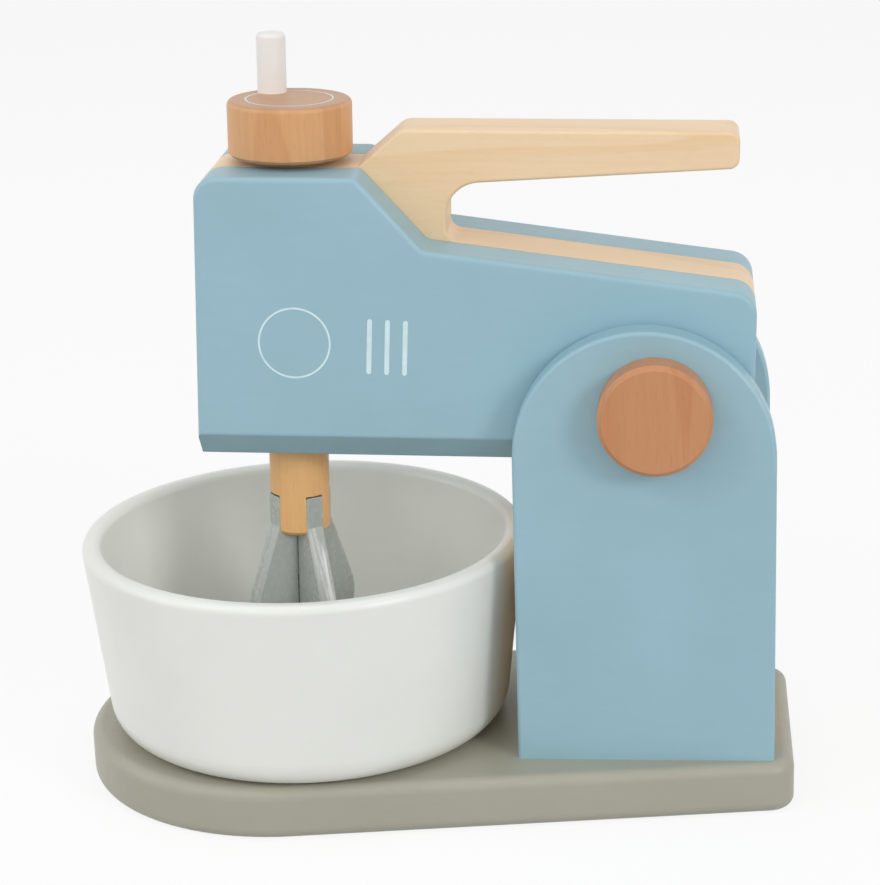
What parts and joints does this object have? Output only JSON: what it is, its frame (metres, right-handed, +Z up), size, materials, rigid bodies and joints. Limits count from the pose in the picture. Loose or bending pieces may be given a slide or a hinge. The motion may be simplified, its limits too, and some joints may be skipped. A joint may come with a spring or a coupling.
{
  "type": "toy stand mixer",
  "caption": "Wooden toy stand mixer with a tilting head, a hand-cranked whisk and a lift-out bowl on a rounded base.",
  "frame": {"origin": "bottom centre of the overall box, on the surface that the base stands on", "axes": "+Z up; -X the bowl end, +X the support end; +Y the side with the crank pin at rest"},
  "size_m": [0.2164, 0.1346, 0.2256],
  "materials": {
    "grey_paint": "satin grey paint on beech",
    "blue_paint": "satin pale blue paint on beech",
    "white_paint": "satin white paint on beech",
    "whisk_paint": "satin grey paint on plywood",
    "natural_wood": "clear satin lacquer on pale wood",
    "beech": "clear satin lacquer on beech",
    "screw_steel": "zinc plated"
  },
  "bodies": {
    "stand": {"base_plate": "grey_paint", "cheek_left": "blue_paint", "cheek_right": "blue_paint", "front_panel": "natural_wood", "rear_panel": "natural_wood", "base_screws": "screw_steel", "panel_dowels": "beech"},
    "head": {"head_core_handle": "natural_wood", "head_side_left": "blue_paint", "head_side_right": "blue_paint", "head_dowels": "beech", "pivot_axle": "beech", "pivot_disc_left": "beech", "pivot_disc_right": "beech", "knob_washer": "beech"},
    "beater": {"knob": "beech", "crank_pin": "white_paint", "spindle": "beech", "beater_shaft": "beech", "whisk_board_a": "whisk_paint", "whisk_board_b": "whisk_paint"},
    "bowl": {"bowl": "white_paint"}
  },
  "joints": [
    {"name": "head_tilt", "type": "hinge", "parent": "stand", "child": "head", "pos_m": [0.0678, 0, 0.1232], "axis": [0, 1, 0], "range_deg": [0, 75]},
    {"name": "beater_spin", "type": "hinge", "parent": "head", "child": "beater", "pos_m": [-0.03948, 0, 0.12545], "axis": [0.0209, 0, 0.9998], "continuous": true},
    {"name": "bowl_lift", "type": "slide", "parent": "stand", "child": "bowl", "axis": [0, 0, 1], "range_m": [0, 0.013]}
  ]
}
